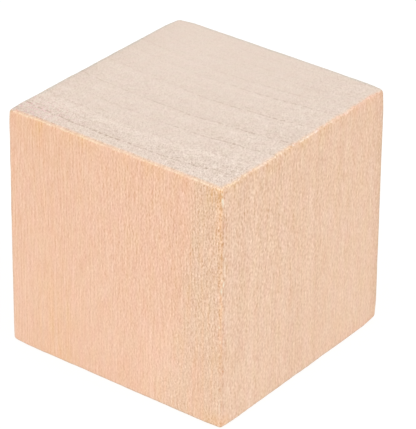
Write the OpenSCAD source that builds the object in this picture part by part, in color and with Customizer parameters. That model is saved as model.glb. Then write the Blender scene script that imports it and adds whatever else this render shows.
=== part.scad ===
// A small solid craft cube, cut from one piece of pale hardwood.
// It stands on its underside, with the grain running straight up along Z.
// The origin is the middle of the underside, and every length is in millimetres.

/* [Block] */
// Length along X, across the grain
block_length = 25; // [16:0.5:60]
// Width along Y, across the grain
block_width = 25; // [16:0.5:60]
// Height along Z, along the grain
block_height = 25; // [16:0.5:60]

/* [Eased edges] */
// Radius of the four upright edges, which run along the grain
side_edge_r = 0.4; // [0.2:0.05:0.8]
// Radius of the eight edges round the two end-grain faces
end_edge_r = 0.4; // [0.2:0.05:0.8]

/* [Sanded corners] */
// How far each sharp corner is sanded back along its diagonal
corner_cut = 0.5; // [0.45:0.05:0.8]
// Radius of the slight dome that the sanding leaves on a corner
corner_dome_r = 4; // [4:0.5:12]

/* [Hidden] */
wood_colour = [0.94, 0.78, 0.68];
$fn = 64;

// Each rounded bar runs past the block by this much at both ends
bar_overrun = 2;
// Depth of a corner dome's centre behind each of the three faces that meet there
dome_depth = (corner_dome_r + corner_cut) / sqrt(3);
// The block of waste that is taken off at a corner starts this far outside it
waste_overrun = 1;

// A rectangle about the origin with its four corners rounded
module rounded_rectangle(size_x, size_y, corner_r) {
    square([size_x - 2 * corner_r, size_y], center = true);
    square([size_x, size_y - 2 * corner_r], center = true);
    for (side_x = [-1, 1], side_y = [-1, 1]) {
        translate([side_x * (size_x / 2 - corner_r), side_y * (size_y / 2 - corner_r)])
            circle(r = corner_r);
    }
}

// The upright bar that rounds the edges along the grain
module bar_along_z() {
    linear_extrude(height = block_height + 2 * bar_overrun, center = true)
        rounded_rectangle(block_length, block_width, side_edge_r);
}

// The bar along X that rounds the end-grain edges of the front and the back
module bar_along_x() {
    rotate([90, 0, 90])
        linear_extrude(height = block_length + 2 * bar_overrun, center = true)
            rounded_rectangle(block_width, block_height, end_edge_r);
}

// The bar along Y that rounds the end-grain edges of the two sides
module bar_along_y() {
    rotate([90, 0, 0])
        linear_extrude(height = block_width + 2 * bar_overrun, center = true)
            rounded_rectangle(block_length, block_height, end_edge_r);
}

// What sanding takes off one corner: all that lies outside the dome there
module corner_waste() {
    difference() {
        translate([-dome_depth, -dome_depth, -dome_depth])
            cube(dome_depth + waste_overrun);
        translate([-dome_depth, -dome_depth, -dome_depth])
            sphere(r = corner_dome_r);
    }
}

// The whole cube, one solid piece of wood
module wooden_cube() {
    color(wood_colour)
        translate([0, 0, block_height / 2])
            difference() {
                intersection() {
                    bar_along_z();
                    bar_along_x();
                    bar_along_y();
                }
                for (turn_x = [0, 1], turn_y = [0, 1], turn_z = [0, 1]) {
                    mirror([turn_x, 0, 0])
                        mirror([0, turn_y, 0])
                            mirror([0, 0, turn_z])
                                translate([block_length, block_width, block_height] / 2)
                                    corner_waste();
                }
            }
}

wooden_cube();
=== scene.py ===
import math

import bpy
from mathutils import Matrix, Vector, noise


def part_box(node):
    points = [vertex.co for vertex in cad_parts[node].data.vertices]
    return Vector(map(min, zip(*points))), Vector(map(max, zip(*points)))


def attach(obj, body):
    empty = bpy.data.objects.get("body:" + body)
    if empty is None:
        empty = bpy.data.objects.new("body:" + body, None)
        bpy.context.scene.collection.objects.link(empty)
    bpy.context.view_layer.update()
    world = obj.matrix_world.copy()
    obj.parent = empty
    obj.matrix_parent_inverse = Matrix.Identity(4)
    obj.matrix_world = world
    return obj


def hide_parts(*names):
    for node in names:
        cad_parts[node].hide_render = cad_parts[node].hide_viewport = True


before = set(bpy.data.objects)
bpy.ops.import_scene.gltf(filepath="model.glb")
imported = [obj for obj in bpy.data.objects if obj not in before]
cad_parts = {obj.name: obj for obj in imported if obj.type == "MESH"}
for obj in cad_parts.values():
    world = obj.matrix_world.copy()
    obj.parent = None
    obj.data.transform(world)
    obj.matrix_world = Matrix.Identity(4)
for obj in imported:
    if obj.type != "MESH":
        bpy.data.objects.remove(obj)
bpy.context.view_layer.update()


# ---------------------------------------------------------------------------
# Wooden cube, its form.
# One block of pale hardwood, sawn from a board with the grain upright and then
# sanded, which eases its edges and corners by less than a millimetre and leaves
# it a hair out of square.
# ---------------------------------------------------------------------------
# Lengths are in millimetres, and a fineness is in lumps of noise per millimetre.
MM = 0.001

low, high = (Vector(corner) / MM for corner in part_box("wooden_cube"))
half = (high - low) / 2
middle = (high + low) / 2

edge_radius = 0.43
edge_radius_swing = 0.05
edge_swing_fineness = 0.45
foot_edge_radius = 0.28
foot_edge_height = 1.2
back_rim_radius = 0.34
back_rim_reach = 1.2
corners = {
    # left or right, front or back, bottom or top: radius, extra wear, and how far the corner
    # sits in from the true cube across, front to back and upright
    (-1, -1, 1): (0.51, 0.02, (0.13, 0.02, 0.13)), (1, -1, 1): (0.60, 0.03, (0.11, 0.00, 0.00)),
    (1, 1, 1): (0.52, 0.05, (0.22, 0.05, 0.00)), (-1, 1, 1): (0.82, 0.00, (0.21, 0.00, 0.05)),
    (-1, -1, -1): (0.46, 0.03, (0.00, 0.00, 0.05)), (1, -1, -1): (0.36, 0.07, (0.00, 0.19, 0.00)),
    (1, 1, -1): (0.64, 0.04, (0.10, 0.00, 0.14)), (-1, 1, -1): (0.60, 0.03, (0.00, 0.00, 0.00)),
}
corner_reach = 2.4
wear_reach = 3.0

edge_nick_depth = 0.035
edge_nick_reach = 0.6
edge_nick_fineness = (1.9, 1.9, 0.9)
edge_nick_start = (3, 8, 1)
face_hollow = 0.012
face_hollow_fineness = 0.16
face_hollow_start = (5, 9, 2)
fibre_relief = 0.004
fibre_fineness = (3.1, 3.1, 0.25)
end_grain_relief = 0.006
end_grain_fineness = 2.6
end_grain_start = (31, 7, 3)

rim_step = 0.085
rim_depth = 0.5
across_step = 0.180
along_step = 0.400
between_depth = 1.6

sheet_columns = 3
sheet_rows = 2
tile_margin = 0.012


def graded(half_length, coarse_step):
    """Grid positions from end to end, close together at both ends."""
    places = [half_length]
    for depth, step in ((rim_depth, rim_step), (between_depth, (rim_step + coarse_step) / 2)):
        while half_length - places[-1] < depth - step / 2:
            places.append(places[-1] - step)
    inner = places[-1]
    count = max(2, round(2 * inner / coarse_step))
    between = [-inner + 2 * inner * i / count for i in range(1, count)]
    return [-p for p in places] + between + places[::-1]


def nearness(distance, reach):
    """1 at no distance, falling straight to 0 at the reach."""
    return max(0.0, 1.0 - distance / reach)


def eased(p):
    """Takes a point of the sharp block to the block with eased edges and corners."""
    to_side = [half[k] - abs(p[k]) for k in range(3)]
    to_corner = math.hypot(*to_side)
    signs = tuple(1 if p[k] > 0 else -1 for k in range(3))
    share = nearness(to_corner, corner_reach)
    share = share * share * (3 - 2 * share)
    foot = nearness(p.z + half.z, foot_edge_height)
    along_edge = edge_radius + (foot_edge_radius - edge_radius) * foot
    along_edge += edge_radius_swing * noise.noise(p * edge_swing_fineness)
    if signs[1] > 0 and signs[2] > 0:
        back_rim = nearness(to_side[1], back_rim_reach) * nearness(to_side[2], back_rim_reach)
        along_edge += (back_rim_radius - edge_radius) * back_rim
    radius = along_edge + (corners[signs][0] - along_edge) * share
    core = Vector(max(radius - half[k], min(half[k] - radius, p[k])) for k in range(3))
    outward = (p - core).normalized()
    return core + outward * radius, outward, to_side, to_corner, signs


def sanded(p):
    """The sanded surface, which is always on or inside the sharp block."""
    surface, outward, to_side, to_corner, signs = eased(p)
    at_edge = nearness(sorted(to_side)[1], edge_nick_reach)
    end_share = outward.z * outward.z
    fibres = noise.noise(Vector(p[k] * fibre_fineness[k] for k in range(3)))
    pores = noise.noise(p * end_grain_fineness + Vector(end_grain_start))
    waves = noise.noise(p * face_hollow_fineness + Vector(face_hollow_start))
    nicks = noise.noise(Vector(p[k] * edge_nick_fineness[k] + edge_nick_start[k] for k in range(3)))
    depth = face_hollow * (0.5 + 0.5 * waves)
    depth += corners[signs][1] * nearness(to_corner, wear_reach) ** 2
    depth += (1 - end_share) * fibre_relief * (1 + fibres)
    depth += end_share * end_grain_relief * (1 + pores)
    depth += at_edge * edge_nick_depth * (1 + nicks) / 2
    return surface - outward * depth


def out_of_square(p):
    """How far a point sits in from the true cube, blended between the eight corners."""
    inward = Vector((0, 0, 0))
    for signs, (_, _, shift) in corners.items():
        share = 1.0
        for k in range(3):
            share *= (1 + signs[k] * p[k] / half[k]) / 2
        inward += share * Vector(-signs[k] * shift[k] for k in range(3))
    return inward


def block_mesh():
    """A closed skin of six grids that share their edge points."""
    grid = (graded(half.x, across_step), graded(half.y, across_step),
            graded(half.z, along_step))
    last = [len(places) - 1 for places in grid]
    index = {}
    points = []
    in_wood = []
    faces = []
    on_sheet = []

    def point(at):
        """The number of a grid point, which is made the first time it is asked for."""
        key = tuple(at)
        if key not in index:
            index[key] = len(points)
            sharp = Vector(grid[k][at[k]] for k in range(3))
            surface = sanded(sharp)
            points.append((middle + surface + out_of_square(sharp)) * MM)
            in_wood.append(middle + surface)
        return index[key]

    def spread(k, at):
        """How far along a tile a grid point lies, with a margin at both ends."""
        share = (grid[k][at[k]] + half[k]) / (2 * half[k])
        return tile_margin + (1 - 2 * tile_margin) * share

    for axis in range(3):
        u, v = (axis + 1) % 3, (axis + 2) % 3
        # the sheet's columns are narrower than its rows are tall, so they run along the grain
        along, across = (v, u) if axis == 0 else (u, v)
        for row, side in enumerate((0, last[axis])):
            for a in range(last[u]):
                for b in range(last[v]):
                    ring = []
                    for step_u, step_v in ((0, 0), (1, 0), (1, 1), (0, 1)):
                        at = [0, 0, 0]
                        at[axis], at[u], at[v] = side, a + step_u, b + step_v
                        ring.append((point(at), ((axis + spread(along, at)) / sheet_columns,
                                                 (row + spread(across, at)) / sheet_rows)))
                    if side == 0:
                        ring.reverse()
                    faces.append([number for number, _ in ring])
                    on_sheet.extend(spot for _, spot in ring)
    mesh = bpy.data.meshes.new("sanded_cube_mesh")
    mesh.from_pydata([tuple(p) for p in points], [], faces)
    mesh.shade_smooth()
    # where each point lay in the true cube, in mm, for the wood grain to follow
    kept = mesh.attributes.new("place_in_wood", "FLOAT_VECTOR", "POINT")
    kept.data.foreach_set("vector", [part for p in in_wood for part in p])
    # the six faces laid out flat, two to a column, for colours baked on to the block
    sheet_map = mesh.uv_layers.new(name="OFBake")
    sheet_map.data.foreach_set("uv", [part for spot in on_sheet for part in spot])
    return mesh


cube = bpy.data.objects.new("sanded_cube", block_mesh())
bpy.context.scene.collection.objects.link(cube)
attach(cube, "root")
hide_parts("wooden_cube")
print("sanded_cube triangles", 2 * len(cube.data.polygons))


# ---------------------------------------------------------------------------
# Wooden cube, its finish.
# Bare, fine-grained hardwood with no lacquer. Rings and fibres run through the block in three
# dimensions, so each face shows its own cut: rings on the ends, upright fibres on the sides.
# ---------------------------------------------------------------------------
wood = bpy.data.materials.new("pale_hardwood")
wood.use_nodes = True
tree = wood.node_tree
tree.nodes.clear()

seed_step = (3.1, 5.7, 7.3)


def add_node(kind, **settings):
    """A new shader node with these settings."""
    made = tree.nodes.new("ShaderNode" + kind)
    for name, value in settings.items():
        setattr(made, name, value)
    return made


def feed(socket, value):
    """Gives a socket a plain value, or joins it to another node's output."""
    if isinstance(value, bpy.types.NodeSocket):
        tree.links.new(value, socket)
    else:
        socket.default_value = value


def feed_all(made, values):
    """Feeds a node's inputs in their order, and gives the node back."""
    for socket, value in zip(made.inputs, values):
        feed(socket, value)
    return made


def maths(operation, *values):
    """A sum on numbers."""
    return feed_all(add_node("Math", operation=operation), values).outputs[0]


def plus(*terms):
    """The terms added up, from the first to the last."""
    total = terms[0]
    for term in terms[1:]:
        total = maths("ADD", total, term)
    return total


def times(*factors):
    """The factors multiplied, from the first to the last."""
    product = factors[0]
    for factor in factors[1:]:
        product = maths("MULTIPLY", product, factor)
    return product


def opposite(value):
    """What a share leaves of the whole."""
    return maths("SUBTRACT", 1.0, value)


def no_less_than_none(value):
    """The value, or 0 where it would be minus."""
    return maths("MAXIMUM", 0.0, value)


def vector_maths(operation, *values):
    """A sum on vectors that gives a vector."""
    return feed_all(add_node("VectorMath", operation=operation), values).outputs[0]


def vector_number(operation, *values):
    """A sum on vectors that gives a number."""
    return feed_all(add_node("VectorMath", operation=operation), values).outputs["Value"]


def parts_of(vector):
    """The three numbers in a vector."""
    return feed_all(add_node("SeparateXYZ"), (vector,)).outputs


def vector_of(*parts):
    """A vector made of two or three numbers."""
    return feed_all(add_node("CombineXYZ"), parts).outputs[0]


def smooth_step(value, start, end):
    """0 before start, 1 after end, and a soft slope between."""
    made = add_node("MapRange", interpolation_type="SMOOTHSTEP")
    return feed_all(made, (value, start, end)).outputs[0]


def hump(value, centre, width):
    """1 at the centre, falling softly to 0 at one width on either side."""
    return smooth_step(maths("ABSOLUTE", maths("SUBTRACT", value, centre)), width, 0.0)


def mottle(place, per_mm, seed, detail=0.0):
    """Soft noise between about -1 and 1, with its own fineness on each axis."""
    spot = vector_maths("MULTIPLY_ADD", place, per_mm, tuple(seed * step for step in seed_step))
    made = add_node("TexNoise")
    feed(made.inputs["Vector"], spot)
    feed(made.inputs["Scale"], 1.0)
    feed(made.inputs["Detail"], detail)
    return maths("MULTIPLY_ADD", made.outputs["Fac"], 2.0, -1.0)


def fine_lines(place, per_mm, seed, across, gap):
    """Soft noise, less the mean of what lies one gap to either side, which leaves crisp lines."""
    here = mottle(place, per_mm, seed)
    beside = vector_maths("SCALE", across)
    beside.node.inputs["Scale"].default_value = gap
    ahead = mottle(vector_maths("ADD", place, beside), per_mm, seed)
    behind = mottle(vector_maths("SUBTRACT", place, beside), per_mm, seed)
    return plus(here, times(plus(ahead, behind), -0.5))


def pores(place, per_mm, seed, edge, core):
    """Round dots, 1 within the core and 0 past the edge, some strong and some faint."""
    spot = vector_maths("MULTIPLY_ADD", place, per_mm, (seed * seed_step[0], seed * seed_step[1], 0.0))
    made = add_node("TexVoronoi", voronoi_dimensions="2D")
    feed(made.inputs["Vector"], spot)
    feed(made.inputs["Scale"], 1.0)
    dot_strength = parts_of(made.outputs["Color"])[0]
    return times(smooth_step(made.outputs["Distance"], edge, core), dot_strength)


def blend(share, below, above):
    """From one colour to another. A Mix node's colours are its seventh and eighth inputs."""
    made = add_node("Mix", data_type="RGBA")
    feed(made.inputs["Factor"], share)
    for socket, colour in ((made.inputs[6], below), (made.inputs[7], above)):
        feed(socket, colour if isinstance(colour, bpy.types.NodeSocket) else (*colour, 1.0))
    return made.outputs[2]


def blend_number(share, below, above):
    """From one number to another."""
    if isinstance(below, float) and isinstance(above, float):
        return maths("MULTIPLY_ADD", share, above - below, below)
    return plus(below, times(share, maths("SUBTRACT", above, below)))


def swayed(noise_value, mean, swing):
    """A strength that noise sways about its mean."""
    return plus(mean, times(noise_value, swing))


def tinted(colour, amount, tint):
    """Moves a colour along a tint, by this much."""
    return vector_maths("MULTIPLY_ADD", amount, tint, colour)


# Where a point lies, in millimetres, and how far in from the faces of the sharp block.
normal = add_node("TexCoord").outputs["Normal"]
place = add_node("Attribute", attribute_name="place_in_wood").outputs["Vector"]
x, y, z = parts_of(place)
to_x, to_y, to_end = (
    maths("SUBTRACT", half[k], maths("ABSOLUTE", maths("SUBTRACT", part, middle[k])))
    for k, part in enumerate((x, y, z)))
to_side = maths("MINIMUM", to_x, to_y)
frontward = maths("SUBTRACT", x, y)
upper_half = smooth_step(z, 10.0, 14.0)
lower_half = smooth_step(z, 14.0, 10.0)
low_down = smooth_step(z, 14.0, 4.0)

# The rings lie about the tree's pith, far behind the block. The tree leaned a little as it grew,
# and its rings waver.
pith = (-1.4, 70.4)
pith_lean = 0.024
ring_wavers = (
    # fineness across, front to back and upright; seed; how far it moves a ring
    ((0.10, 0.10, 0.10), 1, 0.05), ((0.35, 0.35, 0.16), 2, 0.20), ((1.6, 1.6, 0.5), 3, 0.09),
)
flat_from_pith = vector_maths("MULTIPLY", vector_maths("SUBTRACT", place, (*pith, 0.0)), (1.0, 1.0, 0.0))
radius = plus(vector_number("LENGTH", flat_from_pith), times(maths("SUBTRACT", z, high.z), pith_lean))
for per_mm, seed, reach in ring_wavers:
    radius = plus(radius, times(mottle(place, per_mm, seed), reach))

# The front and back are cut along the rings and look salmon; the other two sides look beige.
facing_pith = vector_number("DOT_PRODUCT", vector_maths("NORMALIZE", flat_from_pith), normal)
on_salmon = smooth_step(maths("ABSOLUTE", facing_pith), 0.55, 0.85)
on_beige = opposite(on_salmon)

# Growth rings: a dark line where each ends, darker wood inside it, and pale bands between.
rings = (
    # radius, strength of its dark line at the left of the block and at the right
    (82.75, 0.50, 0.05), (81.35, 1.25, 1.00), (80.00, 0.30, 0.10), (78.50, 0.25, 0.40),
    (77.40, 0.05, 0.20), (76.15, 0.30, 0.85), (73.50, 0.55, 1.00), (69.85, 0.25, 1.00),
    (66.50, 0.20, 0.75), (64.80, 0.25, 0.45), (62.70, 0.15, 0.35), (61.80, 0.10, 0.20),
    (59.90, 0.10, 0.20), (58.40, 0.10, 0.10),
)
ring_line_reach = 0.17
ring_shade_depth = 0.45
ring_shade_reach = 0.70
pale_bands = (
    # radius, reach to either side, strength
    (82.50, 0.50, 0.25), (79.25, 0.75, 1.00), (77.80, 0.60, 0.20), (76.95, 0.40, 0.35),
    (74.40, 0.80, 0.30), (70.60, 0.90, 0.40), (67.10, 0.60, 0.45), (65.40, 0.50, 0.25),
    (62.10, 0.60, 0.15),
)
rightward = smooth_step(x, -8.0, 9.0)
line = 0.0
shade = 0.0
for ring_radius, left_strength, right_strength in rings:
    strength = blend_number(rightward, left_strength, right_strength)
    line = plus(line, times(hump(radius, ring_radius, ring_line_reach), strength))
    shade = plus(shade, times(hump(radius, ring_radius - ring_shade_depth, ring_shade_reach), strength))
pale = 0.0
for band_radius, reach, strength in pale_bands:
    pale = plus(pale, times(hump(radius, band_radius, reach), strength))

# Side grain: long fibres and streaks, short flecks, pin dots, and pale threads low down on salmon.
line_gap = 0.16
beige_gap_share = 1.3
across = vector_of(on_salmon, times(on_beige, beige_gap_share))
crisp_fleck = fine_lines(place, per_mm=(6.0, 4.6, 3.0), seed=6, across=across, gap=line_gap)
crisp_fibre = fine_lines(place, per_mm=(6.0, 4.6, 0.35), seed=31, across=across, gap=line_gap)
fleck = mottle(place, per_mm=(8.0, 4.8, 3.5), seed=8)
soft_fleck = mottle(place, per_mm=(2.8, 2.2, 0.7), seed=32)
fine_fleck = mottle(place, per_mm=(13.0, 10.0, 5.5), seed=20)
fibre = mottle(place, per_mm=(8.5, 6.0, 0.5), seed=16)
streak = mottle(place, per_mm=(1.6, 1.3, 0.10), seed=7)
broad_streak = mottle(place, per_mm=(0.28, 0.28, 0.09), seed=9)
thread = smooth_step(mottle(place, per_mm=(3.4, 2.6, 0.05), seed=30), 0.42, 0.62)
pin_dot = smooth_step(mottle(place, per_mm=(2.6, 2.6, 1.7), seed=39), 0.50, 0.68)

# A strip of rougher, darker wood stands beside the front upright edge on the salmon side. It is
# wider low down, its border wanders, and near the foot it has a calmer gap.
strip_start_above = 8.0
strip_start_below = 4.6
strip_full = 9.4
strip_wander = 0.7
strip_drawn_in_above = -0.7
strip_spread_midway = 0.5
strip_spread_at_foot = 1.6
strip_gap_strength = 0.7
strip_shift = plus(times(mottle(place, per_mm=(0.5, 0.5, 0.25), seed=17), strip_wander),
                   times(smooth_step(z, 15.0, 20.0), strip_drawn_in_above),
                   times(hump(z, 12.0, 4.0), strip_spread_midway),
                   times(smooth_step(z, 5.5, 2.0), strip_spread_at_foot))
strip_start = blend_number(low_down, strip_start_above, strip_start_below)
strip_gap = times(hump(x, 9.6, 1.4), smooth_step(z, 9.0, 5.0), strip_gap_strength)
strip = times(on_salmon, smooth_step(plus(x, strip_shift), strip_start, strip_full), opposite(strip_gap))

# The grain is livelier towards the front upright edge and calmer at the foot. It is more fibrous
# on salmon, most of all to the left, and elsewhere more flecked.
contrast_at_top = 1.05
contrast_at_foot = 0.80
contrast_on_salmon = 0.92
lively_to_front = 0.45
lively_in_strip = 0.15
lively_at_edge = 0.5
fibrous_on_beige = 0.70
fibrous_on_salmon = 1.0
fibrous_to_left = 0.60
fibrous_in_strip = -0.25
flecked_with_no_fibres = 1.35
flecked_less_by_fibres = -0.35
worn = blend_number(smooth_step(z, 20.0, 3.0), contrast_at_top, contrast_at_foot)
near_front = smooth_step(frontward, 23.6, 24.9)
lively = plus(1.0, times(smooth_step(frontward, 3.0, 25.0), lively_to_front),
              times(strip, lively_in_strip),
              times(near_front, smooth_step(z, -2.0, 24.0), lively_at_edge))
fibrous = plus(blend_number(on_salmon, fibrous_on_beige, fibrous_on_salmon),
               times(smooth_step(x, 1.0, -8.0), on_salmon, fibrous_to_left),
               times(strip, fibrous_in_strip))
flecked = plus(flecked_with_no_fibres, times(fibrous, flecked_less_by_fibres))

# How light or dark the sides are. Every name that ends in tone is a step of tone, plus for lighter.
crisp_fleck_on_beige = 0.075
crisp_fleck_on_salmon = 0.095
fleck_tone = 0.120
fine_fleck_tone = 0.10
fine_fleck_more_in_strip = 0.09
crisp_fibre_tone = 0.060
fibre_tone = 0.055
soft_fleck_tone = 0.040
pin_dot_tone = -0.05
thread_tone = 0.050
streak_tone = 0.012
broad_streak_tone = 0.010
rings_on_beige = 2.0
rings_on_salmon = 1.0
side_pale_tone = 0.018
side_shade_tone = -0.012
side_line_tone = -0.014
upper_left_tone = -0.020
lower_right_tone = 0.035
back_edge_shade_tone = -0.07
# Painted light: the sides are made lighter towards the foot and darker up top, standing in for light
# thrown up from the white sheet.
painted_light_top_tone = -0.014
painted_light_foot_tone = 0.018
salmon_clouds = (
    # across, height, reach across, reach up and down, tone
    (7.4, 16.5, 1.2, 11.0, -0.034), (9.7, 4.5, 1.4, 5.0, -0.030), (-11.2, 12.0, 1.8, 6.0, -0.020),
)
beige_clouds = (
    # front to back, height, reach along that, reach up and down, tone
    (-0.8, 3.0, 2.4, 9.0, -0.044), (3.2, 8.0, 2.4, 9.0, -0.024),
)
upper_left = times(smooth_step(x, -3.0, -11.0), smooth_step(z, 14.0, 22.0))
lower_right = times(hump(x, 6.0, 5.0), smooth_step(z, 10.0, 5.0), on_salmon)
# Painted shade: the right side darkens towards its back upright edge, where the rounded edge turns away
# from the lamps.
back_edge_painted_shade = times(smooth_step(y, 10.6, 11.8), smooth_step(x, 11.5, 12.3))
side_tone = plus(times(crisp_fleck, flecked,
                       blend_number(on_salmon, crisp_fleck_on_beige, crisp_fleck_on_salmon)),
                 times(fleck, flecked, fleck_tone),
                 times(fine_fleck, plus(fine_fleck_tone, times(strip, fine_fleck_more_in_strip))),
                 times(fibrous, plus(times(crisp_fibre, crisp_fibre_tone), times(fibre, fibre_tone))),
                 times(soft_fleck, soft_fleck_tone))
side_tone = times(side_tone, worn, lively, blend_number(on_salmon, 1.0, contrast_on_salmon))
side_tone = plus(side_tone, times(pin_dot, pin_dot_tone))
side_tone = plus(side_tone, times(thread, low_down, on_salmon, thread_tone))
side_tone = plus(side_tone, times(streak, streak_tone), times(broad_streak, broad_streak_tone),
                 times(blend_number(on_salmon, rings_on_beige, rings_on_salmon),
                       plus(times(pale, side_pale_tone), times(shade, side_shade_tone),
                            times(line, side_line_tone))))
# Painted light: the last term makes the sides lighter towards the foot.
side_tone = plus(side_tone, times(upper_left, upper_left_tone), times(lower_right, lower_right_tone),
                 times(back_edge_painted_shade, back_edge_shade_tone),
                 blend_number(smooth_step(z, 26.0, 1.0), painted_light_top_tone, painted_light_foot_tone))
for clouds, across_side, on_side in ((salmon_clouds, x, on_salmon), (beige_clouds, y, on_beige)):
    for across_at, up_at, reach_across, reach_up, tone_step in clouds:
        side_tone = plus(side_tone, times(hump(across_side, across_at, reach_across),
                                          hump(z, up_at, reach_up), on_side, tone_step))

# End grain: pores drawn out a little by slanting sanding marks, the ring lines as rows of dots,
# short dark dashes along the rings, and a coarser look to the front and the right.
sanding_slant = math.radians(37)
sanding_place = vector_of(plus(times(x, math.cos(sanding_slant)), times(y, math.sin(sanding_slant))),
                          plus(times(x, -math.sin(sanding_slant)), times(y, math.cos(sanding_slant))), z)
ring_place = vector_of(x, radius, z)
pore = mottle(sanding_place, per_mm=(6.2, 2.3, 1.2), seed=10)
fine_pore = mottle(sanding_place, per_mm=(9.5, 4.6, 1.2), seed=33)
grit = mottle(sanding_place, per_mm=(3.0, 1.4, 0.8), seed=13)
cloud = mottle(place, per_mm=(0.9, 0.9, 0.25), seed=11, detail=2.0)
speck = pores(ring_place, per_mm=(5.2, 3.6, 0.0), seed=18, edge=0.50, core=0.15)
dash = smooth_step(mottle(ring_place, per_mm=(1.7, 6.5, 0.8), seed=28), -0.20, -0.55)
dots = smooth_step(mottle(ring_place, per_mm=(3.0, 1.2, 0.6), seed=12), -0.45, 0.25)
coarse_least = 0.38
coarse_to_right = 0.50
coarse_to_front = 0.42
coarse_at_front = 0.35
pore_tone = 0.11
grit_tone = 0.06
cloud_tone = 0.06
speck_tone = -0.13
fine_pore_tone = 0.04
fine_pore_tone_at_front = 0.13
dash_tone = -0.06
end_lift = 0.022
dotted_line_tone = -0.21
worn_line_tone = -0.14
worn_line_radius = rings[1][0]
worn_line_reach = 0.22
end_shade_tone = -0.024
end_pale_tone = 0.042
end_clouds = (
    # across, front to back, reach across, reach front to back, tone
    (-11.5, -12.5, 5.0, 2.6, -0.090), (-13.0, 0.0, 3.6, 19.0, -0.055),
    (11.5, -0.6, 4.0, 2.4, -0.050), (-6.0, 6.0, 4.0, 5.0, 0.015), (7.0, 8.0, 3.0, 1.6, -0.030),
)
front_side = smooth_step(y, -6.0, -10.0)
coarseness = plus(coarse_least, times(smooth_step(x, 1.0, 11.0), coarse_to_right),
                  times(smooth_step(y, 9.0, -6.0), coarse_to_front), times(front_side, coarse_at_front))
worn_line = times(hump(radius, worn_line_radius, worn_line_reach), hump(x, -1.8, 4.0), dots)
end_tone = plus(times(pore, pore_tone), times(grit, grit_tone), times(cloud, cloud_tone),
                times(speck, speck_tone),
                times(fine_pore, blend_number(front_side, fine_pore_tone, fine_pore_tone_at_front)),
                times(dash, dash_tone), end_lift)
end_tone = plus(times(end_tone, coarseness), times(line, dots, dotted_line_tone),
                times(worn_line, worn_line_tone), times(shade, end_shade_tone),
                times(pale, end_pale_tone))
for across_at, deep_at, reach_across, reach_deep, tone_step in end_clouds:
    end_tone = plus(end_tone, times(hump(x, across_at, reach_across),
                                    hump(y, deep_at, reach_deep), tone_step))

# Rim of each end: how far in from it a point lies on the end, or, as minus, down the side.
rim_wave = mottle(place, per_mm=(0.9, 0.9, 0.9), seed=4)
rim_grain = mottle(place, per_mm=(4.5, 4.5, 4.5), seed=5)
rim_wave_on_left = 0.06
rim_wave_on_right = 0.20
rim_grain_on_left = 0.09
rim_grain_on_right = 0.15
on_right = smooth_step(maths("SUBTRACT", to_x, to_y), 0.3, -0.3)
rim_waver = plus(times(rim_wave, blend_number(on_right, rim_wave_on_left, rim_wave_on_right)),
                 times(rim_grain, blend_number(on_right, rim_grain_on_left, rim_grain_on_right)))
rim = plus(maths("SUBTRACT", to_side, to_end), rim_waver)
end_share = smooth_step(rim, 0.06, 0.27)
off_end = opposite(end_share)
back_rim = maths("MAXIMUM", smooth_step(x, -11.7, -12.0), smooth_step(y, 11.7, 12.0))
upper_half_off_back_rims = times(opposite(back_rim), upper_half)
foot_rim = times(smooth_step(rim, 0.25, 0.10), lower_half)
far_right = times(on_right, smooth_step(y, 4.0, 9.0))

# The top rim is a thin pale line, partly where the saw cut frayed and partly a painted highlight
# along the rounded edge: cream and peach on the salmon side, and cream, pale and pink on the beige side.
rim_cream = (0.985, 0.755, 0.560)
rim_peach = (0.930, 0.640, 0.460)
rim_pale = (0.970, 0.795, 0.685)
rim_pink = (0.925, 0.630, 0.500)
crest_reach = 0.19
crest_strength = 0.80
crest_beads_on_left = 0.9
crest_beads_on_right = 1.4
crest_lost_at_corner = 0.4
crest_more_on_right = 0.18
crest_pink_far_right = 0.9
crest_bead = mottle(place, per_mm=(2.4, 2.4, 2.4), seed=19)
crest_beads = blend_number(on_right, crest_beads_on_left, crest_beads_on_right)
# Painted highlight: the crest is partly a highlight painted along the rounded top edge, partly frayed
# fibres.
crest_and_painted_highlight = times(hump(rim, 0.02, crest_reach), upper_half_off_back_rims,
              swayed(crest_bead, mean=crest_strength, swing=crest_beads))
crest_and_painted_highlight = times(crest_and_painted_highlight, opposite(times(smooth_step(y, 7.0, 11.0), smooth_step(x, 11.0, 12.0),
                                    crest_lost_at_corner)))
crest_mix = smooth_step(plus(mottle(place, per_mm=(0.7, 0.7, 0.7), seed=25),
                             times(on_right, crest_more_on_right)), -0.10, 0.40)
pink_mix = smooth_step(mottle(place, per_mm=(1.8, 1.8, 1.8), seed=34), -0.15, 0.30)
crest_and_highlight_colour = blend(crest_mix, rim_cream,
                     blend(on_right, rim_peach, blend(pink_mix, rim_pale, rim_pink)))
crest_and_highlight_colour = blend(times(far_right, crest_pink_far_right), crest_and_highlight_colour, rim_pink)

# Front upright edge: how far round from the middle of the edge a point lies, in plus on salmon.
# The sanded edge is pale and warm, with a dark line beside it on the beige side; its paleness is partly
# painted light, which makes up for the rounded edge turning away from the lamps.
turn_waver = 0.8
edge_grain_broad = 0.9
edge_grain_fine = 0.7
edge_warm_low_down = 0.30
edge_warm_above = 1.05
turn = plus(maths("SUBTRACT", to_x, to_y), times(rim_waver, turn_waver))
off_ends = smooth_step(to_end, 0.10, 0.40)
on_front_edge = times(smooth_step(x, 11.0, 12.0), smooth_step(y, -11.0, -12.0))
edge_grain = plus(times(mottle(place, per_mm=(1.0, 1.0, 0.30), seed=22), edge_grain_broad),
                  times(mottle(place, per_mm=(4.5, 4.5, 0.8), seed=35), edge_grain_fine))
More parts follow.
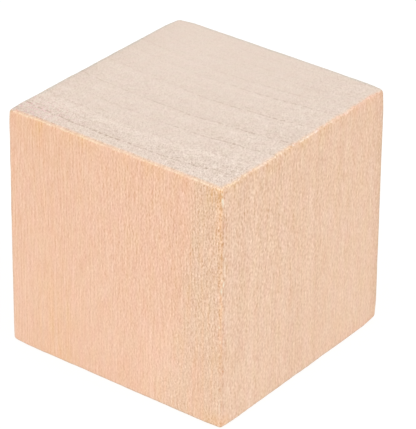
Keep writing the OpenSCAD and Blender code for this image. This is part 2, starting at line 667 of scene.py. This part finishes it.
# Partly painted light: the pale band is partly pale sanded fibres, partly brightness painted where the
# rounded edge turns from the lamps.
edge_pale_partly_painted_light = times(hump(turn, 0.15, 0.48), off_ends, on_front_edge, swayed(fibre, mean=0.8, swing=0.6))
edge_warm = times(hump(turn, 0.03, 0.56), off_ends, on_front_edge,
                  swayed(edge_grain, mean=0.82, swing=0.7),
                  blend_number(smooth_step(z, 4.0, 9.0), edge_warm_low_down, edge_warm_above))
edge_dark = times(hump(turn, -0.31, 0.19), off_ends, on_front_edge,
                  smooth_step(mottle(place, per_mm=(1.6, 1.6, 0.9), seed=23), -0.20, 0.40))

# Small marks along the front upright edge, where the sanding bared pale wood or left a brown spot.
pale_flecks = (
    # height, reach along the edge, place across it (plus on salmon), reach across, strength
    (23.60, 0.75, -0.14, 0.24, 1.00), (24.40, 0.30, -0.05, 0.20, 0.60),
    (15.25, 0.45, -0.30, 0.20, 0.90), (14.55, 0.60, -0.05, 0.22, 0.75),
    (10.90, 0.35, 0.20, 0.16, 0.45), (9.30, 0.25, 0.05, 0.14, 0.50), (2.60, 1.30, 0.18, 0.18, 0.22),
    (13.00, 0.35, 0.10, 0.14, 0.40), (17.80, 0.25, -0.55, 0.16, 0.30),
)
brown_spots = (
    (24.30, 0.70, 0.05, 0.24, 0.40), (21.25, 0.45, -0.42, 0.22, 0.75), (20.70, 0.30, 0.55, 0.35, 0.30),
    (18.10, 0.50, -0.60, 0.16, 0.40), (14.95, 0.40, -0.45, 0.12, 0.60), (10.95, 0.65, -0.32, 0.20, 0.65),
    (9.80, 0.50, -0.20, 0.13, 0.90), (8.30, 0.30, 0.20, 0.12, 0.45), (6.15, 0.45, -0.30, 0.16, 0.80),
    (5.30, 0.25, 0.10, 0.12, 0.50), (4.25, 0.35, 0.05, 0.20, 0.50),
    (1.10, 0.40, 0.10, 0.12, 0.45), (0.60, 0.25, 0.50, 0.14, 0.40),
)


def edge_marks(marks):
    """Marks along the front upright edge, each a soft upright speck, broken up by the flecks."""
    total = 0.0
    for height, reach, across_at, width, strength in marks:
        total = plus(total, times(hump(z, height, reach), hump(turn, across_at, width), strength))
    return times(total, on_front_edge, swayed(fleck, mean=1.0, swing=0.6))


pale_mark = edge_marks(pale_flecks)
brown_mark = edge_marks(brown_spots)

# The outer edges, at the back of the top, down the left and right upright edges and round the foot, are
# painted a little greyer and darker: painted shade where the rounded edges turn away from the light.
grey_on_right_edge = 1.5
grey_on_left_edge = 2.0
grey_most = 0.72
outer_line_aside = 0.08
outer_edge_shade_tone = -0.035
foot_rim_shade_tone = -0.05
back_rim_shade_tone = -0.025
outer_edges = times(off_ends, opposite(on_front_edge), smooth_step(frontward, -20.0, -10.0))
off_outer = maths("ABSOLUTE", plus(turn, outer_line_aside))
grey_patches = swayed(mottle(place, per_mm=(0.6, 0.6, 0.6), seed=38), mean=0.55, swing=0.5)
# Painted shade: a grey tint on the outer edges.
painted_shade_on_edges = plus(times(smooth_step(off_outer, 0.62, 0.22), outer_edges,
                       blend_number(smooth_step(x, 5.0, -5.0), grey_on_right_edge, grey_on_left_edge)),
                 times(smooth_step(rim, 0.72, 0.40), smooth_step(rim, -0.30, 0.0), back_rim, upper_half),
                 times(smooth_step(rim, -0.42, -0.18), foot_rim))
painted_shade_on_edges = maths("MINIMUM", times(painted_shade_on_edges, grey_patches), grey_most)
# Painted shade: a darker tone on the outer edges.
painted_edge_shade = plus(times(smooth_step(off_outer, 0.50, 0.15), outer_edges, outer_edge_shade_tone),
                  times(smooth_step(rim, -0.26, -0.10), foot_rim, foot_rim_shade_tone),
                  times(hump(rim, 0.44, 0.26), back_rim, end_share, back_rim_shade_tone))

# Colour drifts over the block: golden where sanding warmed it under the rim and in an upright
# column, rosy at the front left of the top and far right of the rim, orange along the front edge.
gold_under_rim_low = 0.15
gold_under_rim_high = 1.0
gold_top_left = 0.20
gold_top_left_patches = 0.5
gold_front_corner = 0.10
gold_column_above = 0.20
gold_column_low_down = 0.80
gold_clouds_on_sides = 0.70
gold_clouds_on_ends = 0.30
rosy_dots = 1.9
rosy_far_right = 0.50
rosy_clouds_on_sides = 0.80
rosy_clouds_on_ends = 0.55
orange_far_right = 0.15
orange_in_brown_marks = 0.5
orange_front_corner = 0.38
orange_foot_corner = 0.8
orange_in_strip = 0.40
patch = no_less_than_none(
    swayed(mottle(place, per_mm=(0.6, 0.6, 0.4), seed=14), mean=0.35, swing=1.5))
top_left = times(hump(x, -9.0, 3.0), smooth_step(z, 21.0, 24.0))
corner_streaks = no_less_than_none(
    swayed(mottle(place, per_mm=(6.5, 6.5, 0.35), seed=41), mean=0.90, swing=2.6))
front_corner = times(smooth_step(x, 10.2, 12.0), smooth_step(z, 22.4, 23.8), on_salmon,
                     corner_streaks)
foot_corner = times(smooth_step(x, 9.5, 12.0), smooth_step(y, -10.5, -12.0), smooth_step(z, 2.0, 0.4))
column_streaks = swayed(mottle(place, per_mm=(2.2, 2.2, 0.06), seed=36), mean=0.7, swing=1.6)
golden_column = times(on_salmon, hump(x, -7.2, 3.8), column_streaks,
                      blend_number(low_down, gold_column_above, gold_column_low_down))
gold = times(off_end, plus(times(smooth_step(to_end, 2.4, 0.2), patch, opposite(far_right),
                                 blend_number(smooth_step(z, 10.0, 15.0), gold_under_rim_low,
                                              gold_under_rim_high)),
                           times(top_left, plus(gold_top_left, times(patch, gold_top_left_patches))),
                           times(front_corner, gold_front_corner), golden_column))
gold = plus(gold, times(mottle(place, per_mm=(1.1, 0.9, 0.35), seed=26, detail=1.0),
                        blend_number(end_share, gold_clouds_on_sides, gold_clouds_on_ends)))
front_left = times(smooth_step(y, -7.0, -11.0), smooth_step(x, -3.0, -11.0))
pink_dots = smooth_step(mottle(place, per_mm=(3.4, 3.4, 1.0), seed=24), 0.0, 0.4)
under_rim = smooth_step(to_end, 1.4, 0.2)
rosy = plus(times(end_share, front_left, pink_dots, rosy_dots),
            times(far_right, off_end, under_rim, rosy_far_right),
            times(mottle(place, per_mm=(1.3, 1.1, 0.45), seed=27, detail=1.0),
                  blend_number(end_share, rosy_clouds_on_sides, rosy_clouds_on_ends)))
strip_streaks = smooth_step(mottle(place, per_mm=(2.0, 2.0, 0.20), seed=37), 0.05, 0.45)
orange = plus(times(far_right, off_end, under_rim, orange_far_right), edge_warm,
              times(brown_mark, orange_in_brown_marks),
              times(front_corner, off_end, orange_front_corner),
              times(foot_corner, orange_foot_corner),
              times(strip, off_end, strip_streaks, orange_in_strip))

# The wood's own colours, then light and dark by the tone, then the tints, and bare flecks on top.
# Colours and tints are linear red, green and blue.
salmon_side = (0.884, 0.560, 0.390)
beige_side = (0.838, 0.573, 0.408)
strip_side = (0.832, 0.564, 0.394)
end_grain = (0.834, 0.690, 0.590)
rim_shade = (0.862, 0.625, 0.475)
bare_fleck = (1.000, 0.900, 0.720)
side_step = (0.63, 0.64, 0.61)
end_step = (0.74, 0.73, 0.71)
golden_tint = (-0.006, -0.014, -0.050)
orange_tint = (0.032, -0.022, -0.062)
rosy_tint = (0.012, -0.030, -0.006)
brown_tint = (-0.120, -0.150, -0.120)
# The grey tint is painted shade on the outer edges.
painted_shade_tint = (-0.100, -0.022, -0.008)
edge_pale_painted_light_tone = 0.105
edge_dark_tone = -0.07
front_corner_tone = -0.05
below_crest_tone = -0.02
rim_shade_on_left = 1.0
rim_shade_on_right = 0.4
tone = plus(blend_number(end_share, side_tone, end_tone), times(edge_pale_partly_painted_light, edge_pale_painted_light_tone),
            times(edge_dark, edge_dark_tone), times(front_corner, off_end, front_corner_tone),
            times(hump(rim, -0.30, 0.14), upper_half_off_back_rims, below_crest_tone), painted_edge_shade)
end_colour = blend(times(smooth_step(rim, 0.56, 0.26), upper_half_off_back_rims,
                         blend_number(on_right, rim_shade_on_left, rim_shade_on_right)),
                   end_grain, rim_shade)
side_colour = blend(strip, blend(on_salmon, beige_side, salmon_side), strip_side)
ground = blend(end_share, side_colour, end_colour)
# The crest line goes over the ground: partly frayed fibres, partly a painted highlight.
ground = blend(crest_and_painted_highlight, ground, crest_and_highlight_colour)
for amount, tint in ((tone, blend(end_share, side_step, end_step)), (gold, golden_tint),
                     (orange, orange_tint), (rosy, rosy_tint), (brown_mark, brown_tint),
                     (painted_shade_on_edges, painted_shade_tint)):
    ground = tinted(ground, amount, tint)
ground = blend(pale_mark, ground, bare_fleck)

# Bare wood is matt, a little more so on the ends, and its fibres and pores stand out a few microns.
side_roughness = 0.74
end_roughness = 0.84
roughness_swing = 0.05
relief_height = 0.005
fleck_relief = 0.6
line_groove = 1.5
shader = add_node("BsdfPrincipled")
feed(shader.inputs["Base Color"], ground)
feed(shader.inputs["Roughness"],
     blend_number(end_share, swayed(fibre, mean=side_roughness, swing=roughness_swing),
                  swayed(pore, mean=end_roughness, swing=roughness_swing)))
relief = add_node("Bump")
feed(relief.inputs["Strength"], 1.0)
feed(relief.inputs["Distance"], relief_height * MM)
feed(relief.inputs["Height"], blend_number(end_share, plus(fibre, times(fleck, fleck_relief)),
                                           maths("SUBTRACT", pore, times(line, dots, line_groove))))
feed(shader.inputs["Normal"], relief.outputs[0])
surface = add_node("OutputMaterial")
feed(surface.inputs["Surface"], shader.outputs[0])
cube.data.materials.append(wood)


# ---------------------------------------------------------------------------
# Table and backdrop.
# A plain white sheet under and behind the cube, which keeps its soft shadow.
# It looks near white, and throws back less light than that on to the cube.
# ---------------------------------------------------------------------------
sheet_half = 1.5  # metres
sheet_grey = 0.25
sheet_glow = 0.53
sheet_glow_to_camera = 0.29

sheet_mesh = bpy.data.meshes.new("white_sheet_mesh")
sheet_mesh.from_pydata(
    [(-sheet_half, -sheet_half, 0), (sheet_half, -sheet_half, 0),
     (sheet_half, sheet_half, 0), (-sheet_half, sheet_half, 0)], [], [(0, 1, 2, 3)])
sheet = bpy.data.objects.new("white_sheet", sheet_mesh)
bpy.context.scene.collection.objects.link(sheet)

paper = bpy.data.materials.new("white_paper")
paper.use_nodes = True
tree = paper.node_tree
tree.nodes.clear()
diffuse = add_node("BsdfDiffuse")
feed(diffuse.inputs["Color"], (sheet_grey, sheet_grey, sheet_grey, 1))
glow = add_node("Emission")
feed(glow.inputs["Strength"], maths("MULTIPLY_ADD", add_node("LightPath").outputs["Is Camera Ray"],
                                    sheet_glow_to_camera, sheet_glow))
both = feed_all(add_node("AddShader"), (diffuse.outputs[0], glow.outputs[0]))
feed(add_node("OutputMaterial").inputs["Surface"], both.outputs[0])
sheet_mesh.materials.append(paper)


# ---------------------------------------------------------------------------
# Light.
# A pale studio room, which looks white behind the cube, and two soft boxes, one
# to each side of the camera.
# ---------------------------------------------------------------------------
# The boxes' angles are in degrees, and their distance and size in metres.
white = (1, 1, 1, 1)
room_strength = 0.55
left_box_azimuth = -22
right_box_azimuth = 112
box_elevation = 31
box_distance = 1.6
box_size = 0.9
box_brightness = 0.46

world = bpy.data.worlds.new("studio")
bpy.context.scene.world = world
world.use_nodes = True
tree = world.node_tree
tree.nodes.clear()
room = feed_all(add_node("Background"), (white, room_strength))
backdrop = feed_all(add_node("Background"), (white,))
seen = feed_all(add_node("MixShader"), (add_node("LightPath").outputs["Is Camera Ray"],
                                        room.outputs[0], backdrop.outputs[0]))
feed(add_node("OutputWorld").inputs["Surface"], seen.outputs[0])


def soft_box(name, azimuth):
    """A square lamp that gives a white card facing it the boxes' brightness."""
    data = bpy.data.lights.new(name, "AREA")
    data.shape = "SQUARE"
    data.size = box_size
    data.energy = box_brightness * math.pi * math.pi * box_distance ** 2
    lamp = bpy.data.objects.new(name, data)
    bpy.context.scene.collection.objects.link(lamp)
    a, e = math.radians(azimuth), math.radians(box_elevation)
    toward = Vector((math.sin(a) * math.cos(e), -math.cos(a) * math.cos(e), math.sin(e)))
    lamp.location = middle * MM + toward * box_distance
    lamp.rotation_euler = (-toward).to_track_quat("-Z", "Y").to_euler()


soft_box("left_box", left_box_azimuth)
soft_box("right_box", right_box_azimuth)


# ---------------------------------------------------------------------------
# Camera.
# A long lens some way off, looking down on the upright edge between the two
# front sides.
# ---------------------------------------------------------------------------
# The middle of the cube lies at a depth in millimetres and shows at a place in pixels. The lens
# sees from its nearest to its farthest distance, in metres.
frame_width_px = 416
frame_height_px = 429
camera_azimuth = math.radians(37.70)
camera_elevation = math.radians(29.38)
camera_roll = math.radians(-0.59)
middle_depth = 266.75
focal_px = 2842.6
middle_px = Vector((197.43, 216.17))
sensor_width = 36.0
nearest_seen = 0.01
farthest_seen = 20

forward = Vector((-math.sin(camera_azimuth) * math.cos(camera_elevation),
                  math.cos(camera_azimuth) * math.cos(camera_elevation),
                  -math.sin(camera_elevation)))
level = forward.cross(Vector((0, 0, 1))).normalized()
drop = forward.cross(level)
right = math.cos(camera_roll) * level + math.sin(camera_roll) * drop
down = -math.sin(camera_roll) * level + math.cos(camera_roll) * drop
off_axis = (middle_px - Vector((frame_width_px, frame_height_px)) / 2) * middle_depth / focal_px
eye = middle - forward * middle_depth - right * off_axis.x - down * off_axis.y

lens = bpy.data.cameras.new("camera")
lens.sensor_width = sensor_width
lens.lens = focal_px * sensor_width / frame_height_px
lens.clip_start = nearest_seen
lens.clip_end = farthest_seen
camera = bpy.data.objects.new("camera", lens)
bpy.context.scene.collection.objects.link(camera)
pose = Matrix((right, -down, -forward)).transposed().to_4x4()
pose.translation = eye * MM
camera.matrix_world = pose
bpy.context.scene.camera = camera

bpy.context.scene.view_settings.view_transform = "Standard"
